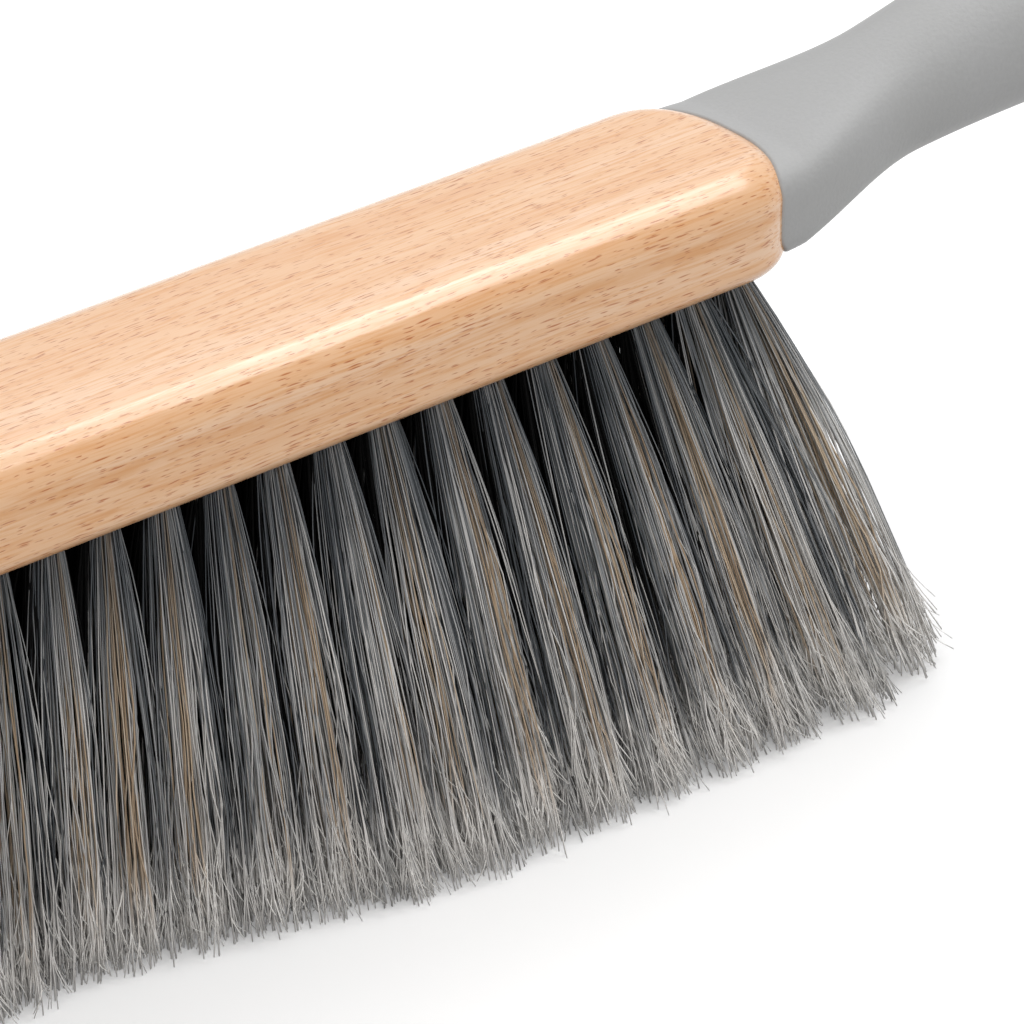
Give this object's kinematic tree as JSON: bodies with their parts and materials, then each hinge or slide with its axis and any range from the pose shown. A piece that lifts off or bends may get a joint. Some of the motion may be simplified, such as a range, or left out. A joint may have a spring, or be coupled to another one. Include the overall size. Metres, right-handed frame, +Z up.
{
  "type": "dusting brush",
  "caption": "Hand dusting brush: a slim beech block with soft flared bristles below and a grey moulded handle that rises from its end.",
  "frame": {"origin": "on the ground under the middle of the whole brush, at the bristle tips", "axes": "+X along the block towards the handle's end, +Z up through the block's back, Y across"},
  "size_m": [0.3994, 0.0594, 0.0895],
  "materials": {
    "beech": "steamed beech under satin lacquer",
    "grey_moulding": "fine matt soft-touch moulding",
    "soft_fibre": "soft filament, tips split and pale",
    "steel": "plain bright steel",
    "anchor_wire": "flat drawn wire"
  },
  "bodies": {
    "root": {"beech_block": "beech", "handle_grip": "grey_moulding", "tang_bar": "steel", "tang_screw_front": "steel", "tang_screw_back": "steel", "bristles_front": "soft_fibre", "bristles_middle": "soft_fibre", "bristles_back": "soft_fibre", "anchors_front": "anchor_wire", "anchors_middle": "anchor_wire", "anchors_back": "anchor_wire"}
  },
  "joints": []
}
